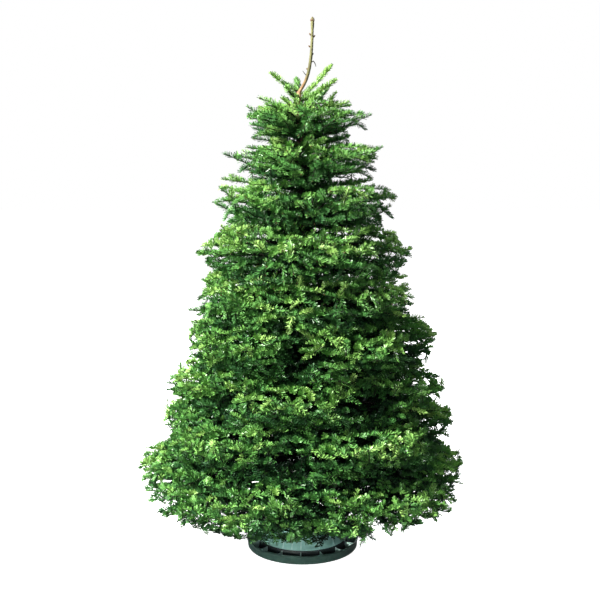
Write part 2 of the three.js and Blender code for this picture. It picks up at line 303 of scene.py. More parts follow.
# ---------------------------------------------------------------- the masses, read from the CAD
class Mass:
    """One fan or lobe of the crown: its azimuth, and its width, top and bottom at each distance out."""

    def __init__(self, points, azimuth=None):
        height = points[:, 2].mean()
        self.centre = trunk_centre(height)
        flat = points[:, :2] - self.centre[:2]
        distance = np.hypot(flat[:, 0], flat[:, 1])
        if azimuth is None:
            middle = flat[distance > distance.max() - TIP_BAND].mean(0)
            azimuth = math.atan2(middle[1], middle[0])
        self.azimuth = azimuth
        self.heading = np.array([math.cos(azimuth), math.sin(azimuth), 0.0])
        self.side = np.array([-math.sin(azimuth), math.cos(azimuth), 0.0])
        out = flat @ self.heading[:2]
        across = flat @ self.side[:2]
        self.inner = out.min()
        self.reach = distance.max()
        self.outs = np.linspace(self.inner, out.max(), MASS_STEPS)
        half = (self.outs[1] - self.outs[0]) * SLICE_HALF
        near = [np.abs(out - centre) < half for centre in self.outs]
        self.tops = np.array([points[chosen, 2].max() for chosen in near])
        self.bottoms = np.array([points[chosen, 2].min() for chosen in near])
        self.widths = np.array([np.abs(across[chosen]).max() for chosen in near])

    def middle(self, out):
        return np.interp(out, self.outs, (self.tops + self.bottoms) / 2)

    def half_depth(self, out):
        return np.interp(out, self.outs, (self.tops - self.bottoms) / 2)

    def half_width(self, out):
        return np.interp(out, self.outs, self.widths)

    def depth_at(self, point):
        """How far inside the mass's outer edge a point lies."""
        return self.reach - math.hypot(point[0] - self.centre[0], point[1] - self.centre[1])

    def layer_at(self, point):
        """Where a point lies between the mass's underside, -1, and its top, 1."""
        out = math.hypot(point[0] - self.centre[0], point[1] - self.centre[1])
        return min(1.0, max(-1.0, (point[2] - self.middle(out)) / max(self.half_depth(out), 0.01)))

    def turned(self, azimuth, reach_share, lift):
        """A likeness of the mass at another azimuth, for the boughs that grow between two fans."""
        likeness = copy.copy(self)
        likeness.azimuth = azimuth
        likeness.heading = np.array([math.cos(azimuth), math.sin(azimuth), 0.0])
        likeness.side = np.array([-math.sin(azimuth), math.cos(azimuth), 0.0])
        likeness.reach = self.reach * reach_share
        likeness.tops = self.tops + lift
        likeness.bottoms = self.bottoms + lift
        return likeness

    def room(self, point, heading, most):
        """The distance from a point along a heading before the mass's outline ends, up to a limit."""
        distances = np.arange(0.0, most + ROOM_STEP, ROOM_STEP)
        flat = point[:2] - self.centre[:2] + distances[:, None] * heading[None, :2]
        out = flat @ self.heading[:2]
        across = flat @ self.side[:2]
        within_width = np.abs(across) < self.half_width(out)
        inside = (out < self.reach) & within_width & (np.hypot(out, across) < self.reach)
        outside = np.flatnonzero(~inside)
        return distances[outside[0]] if len(outside) else most


def ring_lobes(points):
    """The masses of a ring's lobes: one for each azimuth where the ring reaches furthest."""
    centre = trunk_centre(points[:, 2].mean())
    flat = points[:, :2] - centre[:2]
    angle = np.arctan2(flat[:, 1], flat[:, 0])
    distance = np.hypot(flat[:, 0], flat[:, 1])
    scores = []
    turns = np.radians(np.arange(0, 360 / LOBES, 2))
    for turn in turns:
        scores.append((distance * (distance > 0.7 * distance.max()) * np.cos(LOBES * (angle - turn))).sum())
    turn = turns[int(np.argmax(scores))]
    masses = []
    for number in range(LOBES):
        azimuth = turn + 2 * math.pi * number / LOBES
        away = (angle - azimuth + math.pi) % (2 * math.pi) - math.pi
        masses.append(Mass(points[np.abs(away) < math.pi / LOBES + 0.02], azimuth))
    return masses


# ---------------------------------------------------------------- growth
class Shoots:
    """Every needle-bearing shoot, as lists that become arrays."""

    def __init__(self):
        self.start, self.end, self.top, self.age, self.mass, self.spray = [], [], [], [], [], []
        # A share of a full clothing of needles, or -1 to work it out from the depth in the crown.
        self.light = []

    def add(self, start, end, top, age, mass, spray, light=-1.0):
        self.start.append(start)
        self.end.append(end)
        self.top.append(top)
        self.age.append(age)
        self.mass.append(mass)
        self.spray.append(spray)
        self.light.append(light)


shoots = Shoots()
tips = []  # the end of each axis and its heading there, for buds
bough_roots = []  # where boughs leave the trunk
bough_wood = Bundle()
twig_wood = Bundle()
spray_count = 0


def style_at(height):
    share = min(1.0, max(0.0, (height - STYLE_FOOT_HEIGHT) / (STYLE_TOP_HEIGHT - STYLE_FOOT_HEIGHT)))
    return {key: FOOT_STYLE[key] + share * (TOP_STYLE[key] - FOOT_STYLE[key]) for key in FOOT_STYLE}


def underside(point):
    """The lowest that shoots grow above a place on the floor."""
    out = math.hypot(point[0], point[1])
    return UNDERSIDE + UNDERSIDE_RISE * max(0.0, out - UNDERSIDE_TURN) + UNDERSIDE_TILT * point[0]


def add_wood(points, length, order):
    """The wood of one axis, thicker where it carries more."""
    thick = AXIS_RADIUS[order] * min(1.0, SLENDER + length / AXIS_LENGTH[order])
    radii = np.linspace(max(thick, TWIG_TIP * 1.2), TWIG_TIP, len(points))
    bundle = bough_wood if order == 0 else twig_wood
    bundle.add(*tube(points, radii, AXIS_SIDES[order]))


def new_spray():
    global spray_count
    spray_count += 1
    return spray_count


def grow_side_axes(points, top, mass_id, mass, order, style, spray, light):
    """Side axes at an axis's nodes, and on boughs midway between them too, shorter towards its end."""
    total = np.linalg.norm(np.diff(points, axis=0), axis=1).sum()
    travelled = 0.0
    for number in range(len(points) - 1):
        start, end = points[number], points[number + 1]
        segment = end - start
        length = np.linalg.norm(segment)
        heading = segment / length
        for share, vigour in SIDE_PLACES:
            place = start + segment * share
            at = travelled + length * share
            if at < BARE_FOOT * total or (order > 0 and share > 0):
                continue
            if light < 0 and mass.depth_at(place) > BARE_DEPTH:
                continue
            remaining = total - at
            for hand in (-1, 1):
                if rng.random() < SKIPPED[order]:
                    continue
                angle = math.radians(LATERAL_ANGLE + rng.normal(0, LATERAL_SPREAD))
                side = unit(np.cross(heading, top)) * hand
                direction = heading * math.cos(angle) + side * math.sin(angle)
                direction = unit(direction + top * rng.normal(0.0, 0.14) - UP * style["droop"])
                wanted = SIDE_TAPER * remaining + SIDE_LEAST * style["annual"]
                wanted = wanted * vigour * rng.uniform(0.8, 1.12)
                wanted = min(wanted, mass.room(place, direction, wanted) + rng.uniform(-0.012, 0.006))
                if wanted < style["shortest"]:
                    continue
                side_spray = new_spray() if order == 0 else spray
                grow_axis(place, direction, wanted, top, mass_id, mass, order + 1, style, side_spray, light)
        travelled += length


def grow_axis(start, direction, length, top, mass_id, mass, order, style, spray, light=-1.0):
    """One side axis: a year's shoot at a time, turning a little up or down, with side axes of its own."""
    annual = style["annual"] * AXIS_GROWTH[order]
    years = max(1, round(length / annual))
    step = length / years
    heading = direction
    points = [start]
    for year in range(years):
        wander = rng.normal(0, WANDER, 3)
        heading = unit(heading + style["rise"] * UP + wander)
        points.append(points[-1] + heading * step)
    points = np.array(points)
    tilt = unit(top + rng.normal(0, 0.1, 3))
    for year in range(years):
        shoots.add(points[year], points[year + 1], tilt, years - 1 - year, mass_id, spray, light)
    tips.append((points[-1], heading))
    add_wood(points, length, order)
    if order < LAST_ORDER and years > 1:
        grow_side_axes(points, tilt, mass_id, mass, order, style, spray, light)


def grow_bough(mass_id, mass, offset, layer, reach_share):
    """A main bough, from the trunk through its mass to the mass's edge."""
    middle_out = 0.6 * mass.reach
    angle = math.atan(offset * mass.half_width(middle_out) / middle_out)
    heading = mass.heading * math.cos(angle) + mass.side * math.sin(angle)
    edge = mass.room(mass.centre + heading * mass.inner * 1.02, heading, mass.reach)
    end = (min(mass.inner * 1.02 + edge, mass.reach) - 0.5 * EDGE) * reach_share * rng.uniform(*BOUGH_REACHES)
    height = mass.middle(mass.inner) + layer * FOOT_LAYER * mass.half_depth(mass.inner)
    style = style_at(height)
    start_out = trunk_radius(height) * SUNK_SHARE
    years = max(2, round((end - start_out) / style["annual"]))
    foot = trunk_centre(height)
    points = []
    for number, out in enumerate(np.linspace(start_out, end, years + 1)):
        share = number / years
        ease = min(1.0, share * 1.6)
        base = foot * (1 - share) + mass.centre * share
        sway = rng.normal(0, SWAY) * ease
        point = base + heading * out + mass.side * sway
        rise = mass.middle(out) + layer * mass.half_depth(out) * (FOOT_LAYER + LAYER_GAIN * ease)
        rise += rng.normal(0, HEAVE) * ease - style["hang"] * share**3
        point[2] = height if number == 0 else max(rise, underside(point))
        points.append(point)
    points = np.array(points)
    slope = math.atan2(points[-1][2] - points[0][2], end - start_out)
    top = unit(UP - heading * math.sin(slope) + rng.normal(0, 0.08, 3))
    spray = new_spray()
    for year in range(years):
        shoots.add(points[year], points[year + 1], top, years - 1 - year, mass_id, spray)
    tips.append((points[-1], unit(points[-1] - points[-2])))
    bough_roots.append(foot + heading * trunk_radius(height))
    add_wood(points, end - start_out, 0)
    grow_side_axes(points, top, mass_id, mass, 0, style, spray, -1.0)


def fill_mass(mass_id, mass, first, lobed):
    """Sprays towards the places on a mass's plates that no shoot has reached yet."""
    style = style_at(mass.middle(mass.inner))
    near, far = FILL_NEAR * style["annual"], FILL_FAR * style["annual"]
    plates = LOBE_PLATES if lobed else FAN_PLATES
    area = mass.reach * (mass.widths.max() + 0.1)
    starts = np.array(shoots.end[first:])
    cover = np.concatenate([starts, (starts + np.array(shoots.start[first:])) / 2])
    for _ in range(int(area * FILL_TRIES)):
        inner_share = rng.random() ** OUTER_BIAS * (1.0 if lobed else FAN_FILL)
        layer = plates[rng.integers(len(plates))] + rng.normal(0, PLATE_SPREAD)
        rounding = TOP_ROUNDING if layer > 0 else FOOT_ROUNDING
        edge = (mass.reach - EDGE) * (1 - rounding * layer**2)
        out = edge - (edge - mass.inner) * inner_share
        across = rng.uniform(-1, 1) * mass.half_width(out)
        out *= math.sqrt(max(0.0, 1 - (across / mass.reach) ** 2))
        target = mass.centre + mass.heading * out + mass.side * across
        target[2] = mass.middle(out) + layer * mass.half_depth(out)
        if target[2] < underside(target):
            continue
        if np.linalg.norm(cover - target, axis=1).min() < near * (1 + INNER_SPACING * inner_share):
            continue
        distances = np.linalg.norm(starts - target, axis=1)
        nearest = int(np.argmin(distances))
        if distances[nearest] > far:
            continue
        start = starts[nearest]
        outward = (start - trunk_centre(start[2])) * (1, 1, 0)
        outward = unit(outward + 1e-6)
        towards = (target - start) * (1, 1, 0.7)
        direction = unit(unit(towards + 1e-6) + OUTWARD_PULL * outward - 0.5 * style["droop"] * UP)
        length = max(distances[nearest] * 1.1, style["shortest"] * 1.6) * rng.uniform(0.85, 1.15)
        length = min(length, 2.0 * style["annual"], mass.room(start, direction, length) + 0.006)
        if length < 0.6 * style["shortest"]:
            continue
        top = unit(UP + 0.25 * outward + rng.normal(0, 0.12, 3))
        before = len(shoots.end)
        grow_axis(start, direction, length, top, mass_id, mass, 1, style, new_spray())
        added = np.array(shoots.end[before:])
        starts = np.concatenate([starts, added])
        cover = np.concatenate([cover, added, (added + np.array(shoots.start[before:])) / 2])


masses = []
mass_nodes = []
for name in sorted(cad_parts):
    if name.startswith("foliage_tier"):
        points = node_points(name)
        lobed = name.count("_") == 2
        for mass in ring_lobes(points) if lobed else [Mass(points)]:
            if name.startswith(SLOPED_TIER):
                mass.tops = mass.tops - SLOPE * np.clip(2 * mass.outs / mass.reach - 1, 0, 1)
            masses.append(mass)
            mass_nodes.append(name)
            first = len(shoots.end)
            for offset, layer, reach_share in LOBE_BOUGHS if lobed else FAN_BOUGHS:
                grow_bough(len(masses) - 1, mass, offset, layer, reach_share)
            fill_mass(len(masses) - 1, mass, first, lobed)
tier_masses = list(masses)

# Boughs between the fans of the lowest tiers, so that the crown is full all round.
for tier, mean_lift in GAPS:
    fans = [n for n in range(len(tier_masses)) if mass_nodes[n].startswith(f"foliage_tier_{tier}_")]
    fans.sort(key=lambda number: tier_masses[number].azimuth % (2 * math.pi))
    for fan, following in zip(fans, fans[1:] + fans[:1]):
        apart = (tier_masses[following].azimuth - tier_masses[fan].azimuth) % (2 * math.pi)
        lift = mean_lift + rng.uniform(-GAP_LIFT_SPREAD, GAP_LIFT_SPREAD)
        between = tier_masses[fan].turned(tier_masses[fan].azimuth + apart / 2, GAP_REACH, lift)
        masses.append(between)
        mass_nodes.append(mass_nodes[fan])
        for offset, layer, reach_share in GAP_BOUGHS:
            grow_bough(len(masses) - 1, between, offset, layer, reach_share)


def nearest_mass(height, azimuth):
    """The mass whose middle is nearest to a height and an azimuth."""
    turns = np.array([math.cos(mass.azimuth - azimuth) for mass in tier_masses])
    heights = np.array([mass.middle(mass.inner) for mass in tier_masses])
    return int(np.argmin(np.abs(heights - height) / 0.1 - turns))


def grow_from_trunk(height, azimuth, rise, length, order, light):
    """An axis that leaves the trunk by itself, outside the whorls."""
    mass_id = nearest_mass(height, azimuth)
    outward = np.array([math.cos(azimuth), math.sin(azimuth), 0.0])
    direction = unit(outward * math.cos(rise) + UP * math.sin(rise))
    start = trunk_centre(height) + outward * trunk_radius(height) * SUNK_SHARE
    style = style_at(height)
    top = unit(UP - outward * math.sin(rise))
    grow_axis(start, direction, length, top, mass_id, masses[mass_id], order, style, new_spray(), light)


for height, azimuth, rise, length in LONG_SHOOTS:
    grow_from_trunk(height, math.radians(azimuth), math.radians(rise), length, 1, 1.0)
for number, height in enumerate(np.arange(SPRIG_LOWEST, SPRIG_HIGHEST, SPRIG_STEP)):
    azimuth = number * 2 * math.pi * GOLDEN + rng.normal(0, 0.3)
    if height > PALE_TRUNK and math.sin(azimuth) < PALE_FRONT:
        continue
    length = style_at(height)["annual"] * rng.uniform(0.9, 2.1)
    grow_from_trunk(height, azimuth, rng.uniform(-0.1, 0.35), length, 2, 0.9)


YOUNG_CLOTHING = 2.4  # needles on the top whorl, as a share of a full clothing


class TopShoot:
    """Stands in for a mass where one shoot is all there is."""

    reach = 0.0

    def layer_at(self, point):
        return 0.0


for name in sorted(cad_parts):
    if name.startswith("foliage_top_shoot"):
        points = node_points(name)
        centre = points.mean(0)
        line = np.linalg.svd(points - centre)[2][0]
        line = line * np.sign(line[2])
        along = (points - centre) @ line
        tip = centre + line * (along.max() - 0.006)
        foot = centre + line * (along.min() - 0.012)
        masses.append(TopShoot())
        mass_nodes.append(name)
        spray = new_spray()
        middle = (foot + tip) / 2 - 0.005 * UP
        root = trunk_centre(foot[2] - 0.004)
        shoots.add(foot, middle, UP, 0, len(masses) - 1, spray, YOUNG_CLOTHING)
        shoots.add(middle, tip, UP, 0, len(masses) - 1, spray, YOUNG_CLOTHING)
        tips.append((tip, line))
        bough_wood.add(*tube([root, foot, middle, tip], [0.0042, 0.0036, 0.0028, 0.0018], 6))

# ---------------------------------------------------------------- needles
DEPTH_START = 0.05  # the crown's depth begins and is full at these distances inside its edge
DEPTH_END = 0.24
INNER_WIDTH = 0.6  # how much wider needles are in the crown's depth
SHADE_REACH = 0.17  # needles thin out by all of their number over this depth,
SHADE_START = 1.6  # from this many times their number at the edge,
SHADE_LEAST = 0.3  # down to this share
AGE_START = 1.25
AGE_LOSS = 0.14  # share of a shoot's needles that each year takes
UPPER_CROWDING = 0.95  # how much denser needles stand at the top of the tree
NEEDLE_LENGTHS = (0.82, 1.12)  # shares of the style's length and width
NEEDLE_WIDTHS = (0.85, 1.15)
FOOT_HALF = 0.28  # half widths at a needle's foot and end, as shares of its width
END_HALF = 0.5
SET_OUT = 0.001  # from the middle of the shoot
FORWARD = 16  # degrees that needles lean forwards towards a new shoot's end
TUFT_START = 0.9  # beyond this share of a new shoot they close round its bud
TUFT_LEAN = 0.6
END_SHORTER = 0.3  # how much shorter needles are at a new shoot's end
TURN_SPREAD = 0.03  # spreads of a needle's place round the shoot, its lean, its heading and its face
LEAN_SPREAD = 0.15
BLADE_SPREAD = 0.06
FACE_SPREAD = 0.34
start = np.array(shoots.start)
end = np.array(shoots.end)
age = np.array(shoots.age)
light = np.array(shoots.light)
mass_of = np.array(shoots.mass)
spray_of = np.array(shoots.spray)
length = np.linalg.norm(end - start, axis=1)
axis = (end - start) / length[:, None]
top = np.array(shoots.top)
top = units(top - (top * axis).sum(1)[:, None] * axis)
side = np.cross(axis, top)
middle = (start + end) / 2
reach = np.array([mass.reach for mass in masses])[mass_of]
out = np.hypot(*(middle[:, :2] - trunk_centre(middle[:, 2])[:, :2]).T)
inward = reach - out
height_share = np.clip((middle[:, 2] - STYLE_FOOT_HEIGHT) / (STYLE_TOP_HEIGHT - STYLE_FOOT_HEIGHT), 0, 1)

depth_share = np.clip((inward - DEPTH_START) / (DEPTH_END - DEPTH_START), 0, 1)

# Needles thin out inside the crown, where no light reaches, and on the oldest wood.
shade = np.clip(SHADE_START - inward / SHADE_REACH, SHADE_LEAST, 1.0)
crowding = shade * np.clip(AGE_START - AGE_LOSS * age, 0.0, 1.0)
crowding = np.where(light < 0, crowding, light) * (1 + UPPER_CROWDING * height_share)
weight = length * crowding
per_metre = NEEDLE_TOTAL / weight.sum()
counts = np.floor(weight * per_metre + rng.random(len(weight))).astype(int)

shoot = np.repeat(np.arange(len(counts)), counts)
first = np.concatenate([[0], np.cumsum(counts)[:-1]])
number = np.arange(len(shoot)) - first[shoot]
along = (number + rng.random(len(shoot))) / np.maximum(counts[shoot], 1)


def blended(key):
    """A style's value at the height of each needle."""
    return (FOOT_STYLE[key] + height_share * (TOP_STYLE[key] - FOOT_STYLE[key]))[shoot]


round_shoot = (number * GOLDEN + rng.normal(0, TURN_SPREAD, len(shoot))) % 1.0
turn = (round_shoot * 2 - 1) * np.radians(blended("spread"))
is_tip = (age == 0)[shoot]
lean = np.radians(blended("lean") - FORWARD * along * is_tip) + rng.normal(0, LEAN_SPREAD, len(shoot))
lean = np.where(is_tip & (along > TUFT_START), lean * TUFT_LEAN, lean)

a, t, s = axis[shoot], top[shoot], side[shoot]
radial = t * np.cos(turn)[:, None] + s * np.sin(turn)[:, None]
blade = a * np.cos(lean)[:, None] + radial * np.sin(lean)[:, None]
blade = units(blade + blended("upswept")[:, None] * t + rng.normal(0, BLADE_SPREAD, blade.shape))
flat = units(radial - (radial * blade).sum(1)[:, None] * blade + rng.normal(0, FACE_SPREAD, blade.shape))
across = units(np.cross(blade, flat))
shorter = 1 - END_SHORTER * np.where(is_tip, along, 0) ** 3
needle = blended("needle") * rng.uniform(*NEEDLE_LENGTHS, len(shoot)) * shorter
wider = 1 + INNER_WIDTH * depth_share[shoot]
width = blended("needle_width") * rng.uniform(*NEEDLE_WIDTHS, len(shoot)) * wider
root = start[shoot] + a * (length[shoot] * along)[:, None] + radial * SET_OUT
tip = root + blade * needle[:, None]
needles = np.stack(
    [
        root - across * (FOOT_HALF * width)[:, None],
        root + across * (FOOT_HALF * width)[:, None],
        tip + across * (END_HALF * width)[:, None],
        tip - across * (END_HALF * width)[:, None],
    ],
    axis=1,
)


# ---------------------------------------------------------------- materials
def linear(red, green, blue):
    """A colour given as 0 to 255 screen values."""
    share = np.array([red, green, blue]) / 255
    low = share <= 0.04045
    return tuple(np.where(low, share / 12.92, ((share + 0.055) / 1.055) ** 2.4)) + (1.0,)


def new_material(name, color, roughness):
    material = bpy.data.materials.new(name)
    material.use_nodes = True
    shader = material.node_tree.nodes["Principled BSDF"]
    shader.inputs["Base Color"].default_value = color
    shader.inputs["Roughness"].default_value = roughness
    return material, material.node_tree, shader


# The darkest tints serve the painted shade deep in the crown.
NEEDLE_TINTS = [
    (136, 176, 92),
    (116, 162, 80),
    (98, 148, 70),
    (84, 136, 64),
    (72, 124, 58),
    (62, 112, 54),
    (54, 100, 50),
    (46, 90, 48),
    (38, 78, 42),
    (28, 62, 33),
    (19, 46, 24),
    (12, 32, 16),
    (7, 21, 10),
]
# Painted shade: needles deeper inside the crown take darker tints.
DEPTH_TONE = 6.5  # tints from the crown's edge to its depth
MEAN_TONE = 2.4  # the tint of a new shoot, as its place among the tints
SPRAY_SPREAD = 1.2
SHOOT_SPREAD = 0.5
YEAR_TONE = 0.9  # tints that a shoot darkens each year, up to the oldest
OLDEST = 4
YOUNG_TONE = 0.9  # the tint of the top whorl
YOUNG_SPREAD = 0.6
# Painted light and shade: needles on a mass's top take lighter tints and those on its underside darker ones.
LAYER_TONE = 2.1  # tints from the middle of a mass to its top or its underside
NEEDLE_ROUGHNESS = 0.42
needle_materials = [
    new_material(f"needles_tint_{place}", linear(*tint), NEEDLE_ROUGHNESS)[0]
    for place, tint in enumerate(NEEDLE_TINTS, start=1)
]
spray_tone = rng.normal(0, SPRAY_SPREAD, spray_count + 1)
tone = MEAN_TONE + spray_tone[spray_of] + np.minimum(age, OLDEST) * YEAR_TONE
tone += rng.normal(0, SHOOT_SPREAD, len(age))
# Painted shade, deeper inside the crown and weaker near the top of the tree.
tone += DEPTH_TONE * depth_share * (1 - 0.75 * height_share)
# Painted light on the tops of the masses and painted shade on their undersides.
tone -= LAYER_TONE * np.array([masses[mass_id].layer_at(point) for mass_id, point in zip(mass_of, middle)])
tone = np.where(light == YOUNG_CLOTHING, YOUNG_TONE + rng.normal(0, YOUNG_SPREAD, len(age)), tone)
tint_of = np.clip(np.round(tone), 0, len(NEEDLE_TINTS) - 1).astype(int)

# Pieces of needles, from the top of the tree to its foot, each for whole masses of the CAD.
node_names = sorted({name for name in mass_nodes})
node_of_mass = np.array([node_names.index(name) for name in mass_nodes])
needle_node = node_of_mass[mass_of[shoot]]
per_node = np.bincount(needle_node, minlength=len(node_names))
tier_height = np.array([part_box(name)[1][2] for name in node_names])
groups = [[]]
held = 0
for index in np.argsort(-tier_height, kind="stable"):
    if held + 2 * per_node[index] > PIECE_TRIANGLES:
        groups.append([])
        held = 0
    groups[-1].append(index)
    held += 2 * per_node[index]
for place, group in enumerate(groups, start=1):
    chosen = np.isin(needle_node, group)
    corners = needles[chosen].reshape(-1, 3)
    faces = np.arange(len(corners)).reshape(-1, 4)
    tints = tint_of[shoot[chosen]]
    piece = mesh_piece(f"needles_{place}", corners, faces, needle_materials, tints, smooth=False)
    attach(piece, "root")
    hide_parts(*[node_names[index] for index in group])


# ---------------------------------------------------------------- bark
def grain(name, dark, light, scale, roughness, bump):
    """A material of two colours mixed by noise, with roughness and bump from the same noise."""
    material, tree, shader = new_material(name, light, roughness)
    place = tree.nodes.new("ShaderNodeTexCoord")
    texture = tree.nodes.new("ShaderNodeTexNoise")
    texture.inputs["Scale"].default_value = scale
    texture.inputs["Detail"].default_value = 6.0
    texture.inputs["Roughness"].default_value = 0.65
    tree.links.new(place.outputs["Object"], texture.inputs["Vector"])
    ramp = tree.nodes.new("ShaderNodeValToRGB")
    ramp.color_ramp.elements[0].position = 0.32
    ramp.color_ramp.elements[0].color = dark
    ramp.color_ramp.elements[1].position = 0.68
    ramp.color_ramp.elements[1].color = light
    tree.links.new(texture.outputs["Fac"], ramp.inputs["Fac"])
    tree.links.new(ramp.outputs["Color"], shader.inputs["Base Color"])
    spread = tree.nodes.new("ShaderNodeMapRange")
    spread.inputs["To Min"].default_value = roughness - 0.08
    spread.inputs["To Max"].default_value = roughness + 0.08
    tree.links.new(texture.outputs["Fac"], spread.inputs["Value"])
    tree.links.new(spread.outputs["Result"], shader.inputs["Roughness"])
    relief = tree.nodes.new("ShaderNodeBump")
    relief.inputs["Distance"].default_value = bump
    relief.inputs["Strength"].default_value = 0.6
    tree.links.new(texture.outputs["Fac"], relief.inputs["Height"])
    tree.links.new(relief.outputs["Normal"], shader.inputs["Normal"])
    return material, tree, shader, ramp


def trunk_material():
    """Dark brown bark, made darker still by painted shade up through the crown, that turns pale and pinkish
    near the top, and olive on the leader.
    """
    dark, light = (0.45, 0.42, 0.4, 1), (1, 1, 1, 1)
    material, tree, shader, speckle = grain("trunk_bark", dark, light, 90.0, 0.82, 0.0012)
    place = tree.nodes.new("ShaderNodeTexCoord")
    split = tree.nodes.new("ShaderNodeSeparateXYZ")
    level = tree.nodes.new("ShaderNodeMapRange")
    level.inputs["From Max"].default_value = float(trunk_levels[-1])
    bands = tree.nodes.new("ShaderNodeValToRGB")
    stops = [
        # Up through the crown the bark is dark brown deepened with painted shade.
        (0.0, linear(40, 36, 28)),
        (0.75, linear(48, 44, 32)),
        (0.79, linear(196, 158, 136)),
        (0.855, linear(190, 154, 124)),
        (0.875, linear(150, 114, 76)),
        (0.9, linear(100, 98, 60)),
        (1.0, linear(126, 126, 82)),
    ]
    while len(bands.color_ramp.elements) < len(stops):
        bands.color_ramp.elements.new(0.5)
    for element, (position, color) in zip(bands.color_ramp.elements, stops):
        element.position = position
        element.color = color
    blend = tree.nodes.new("ShaderNodeMix")
    blend.data_type = "RGBA"
    blend.blend_type = "MULTIPLY"
    blend.inputs["Factor"].default_value = 1.0
    tree.links.new(place.outputs["Object"], split.inputs["Vector"])
    tree.links.new(split.outputs["Z"], level.inputs["Value"])
    tree.links.new(level.outputs["Result"], bands.inputs["Fac"])
    tree.links.new(bands.outputs["Color"], blend.inputs["A"])
    tree.links.new(speckle.outputs["Color"], blend.inputs["B"])
    tree.links.new(blend.outputs["Result"], shader.inputs["Base Color"])
    return material


# Bough and twig bark is near black: dark bark deepened with painted shade, as the wood stands inside the
# crown.
bough_bark = grain("bough_bark", linear(20, 22, 14), linear(40, 40, 26), 120.0, 0.85, 0.001)[0]
twig_bark = grain("twig_bark", linear(18, 24, 12), linear(38, 46, 24), 200.0, 0.8, 0.0006)[0]
bud_scale = grain("bud_scale", linear(62, 44, 28), linear(112, 82, 50), 400.0, 0.6, 0.0004)[0]
boughs = bough_wood.piece("boughs", [bough_bark])
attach(boughs, "root")
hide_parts(*[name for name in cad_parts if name.startswith("bough_")])
twigs = twig_wood.piece("twigs", [twig_bark])
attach(twigs, "root")

# ---------------------------------------------------------------- trunk and leader
TRUNK_SIDES = 40
TRUNK_STEP = 0.007
LEADER_STEP = 0.0022
CROWN_TOP = 1.777
BARK_RELIEF = 0.0011
KNOT_RISE = 0.004
KNOT_SIZE = 0.013
SCAR_RELIEF = 0.0009


def trunk_mesh():
    """The trunk and leader with the bark's relief: furrows, knots where boughs leave, and needle scars."""
    foot, head = trunk_levels[0], trunk_levels[-1]
    in_crown = np.arange(foot, CROWN_TOP, TRUNK_STEP)
    heights = np.concatenate([in_crown, np.arange(CROWN_TOP, head, LEADER_STEP), [head]])
    angles = np.linspace(0, 2 * math.pi, TRUNK_SIDES, endpoint=False)
    centres = trunk_centre(heights)
    around = np.stack([np.cos(angles), np.sin(angles), 0 * angles], axis=1)
    plain = centres[:, None] + around[None] * trunk_radius(heights)[:, None, None]
    roots = np.array(bough_roots)
    rows = []
    for height, ring in zip(heights, plain):
        on_leader = height > CROWN_TOP
        amount = SCAR_RELIEF if on_leader else BARK_RELIEF
        fineness = (520, 520, 260) if on_leader else (110, 110, 34)
        relief = [noise.fractal(Vector(point * fineness), 1.0, 2.0, 3) * amount for point in ring]
        close = roots[np.abs(roots[:, 2] - height) < 3 * KNOT_SIZE]
        apart = np.linalg.norm(ring[:, None] - close[None], axis=2)
        knots = KNOT_RISE * np.exp(-((apart / KNOT_SIZE) ** 2)).max(axis=1) if len(close) else 0.0
        rows.append(ring + around * (np.array(relief) + knots)[:, None])
    bottom = np.repeat(centres[:1], TRUNK_SIDES, axis=0) + around * 0.0005
    peak = np.repeat(centres[-1:], TRUNK_SIDES, axis=0) + around * 0.0005 + 0.001 * UP
    rows = [bottom, *rows, peak]
    return np.concatenate(rows), grid_faces(len(rows), TRUNK_SIDES)


trunk = mesh_piece("trunk_bark", *trunk_mesh(), [trunk_material()])
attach(trunk, "root")
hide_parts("trunk")

# Buds are pointed ovals. Each is given by its foot, heading, length and radius.
BUD_OUTLINE = [(0.0, 0.55), (0.25, 0.95), (0.55, 1.0), (0.82, 0.6), (1.0, 0.08)]
BUD_LOWEST = 1.0
BUD_SUNK = 0.002
BUDDED = 0.6  # share of the shoot ends above BUD_LOWEST that bear one
LEADER_BUDS = [  # height, azimuth, angle from the leader, length
    (1.985, 176, 40, 0.012),
    (1.978, 4, 40, 0.012),
    (1.942, 184, 50, 0.011),
    (1.915, 30, 45, 0.009),
    (1.86, 160, 45, 0.009),
]
CLUSTER = 6


def bud(foot, heading, size, radius):
    points = [foot + heading * size * share for share, _ in BUD_OUTLINE]
    return tube(points, [radius * wide for _, wide in BUD_OUTLINE], 5)


buds = Bundle()
for point, heading in tips:
    if point[2] > BUD_LOWEST and rng.random() < BUDDED:
        size = rng.uniform(0.006, 0.009)
        buds.add(*bud(point - heading * BUD_SUNK, heading, size, rng.uniform(0.0018, 0.0026)))
for height, azimuth, angle, size in LEADER_BUDS:
    turn_to = math.radians(azimuth)
    outward = np.array([math.cos(turn_to), math.sin(turn_to), 0.0])
    heading = unit(outward * math.sin(math.radians(angle)) + UP * math.cos(math.radians(angle)))
    foot = trunk_centre(height) + outward * trunk_radius(height) * 0.8
    buds.add(*bud(foot, heading, size, 0.0032))
head = float(trunk_levels[-1])
for number in range(CLUSTER):
    turn_to = 2 * math.pi * number / CLUSTER
    outward = np.array([math.cos(turn_to), math.sin(turn_to), 0.0])
    foot = trunk_centre(head - 0.014) + outward * trunk_radius(head - 0.014) * 0.75
    buds.add(*bud(foot, unit(outward * 0.22 + UP), 0.01, 0.003))
buds.add(*bud(trunk_centre(head - 0.004), UP, 0.008, 0.0036))
bud_piece = buds.piece("buds", [bud_scale])
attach(bud_piece, "root")

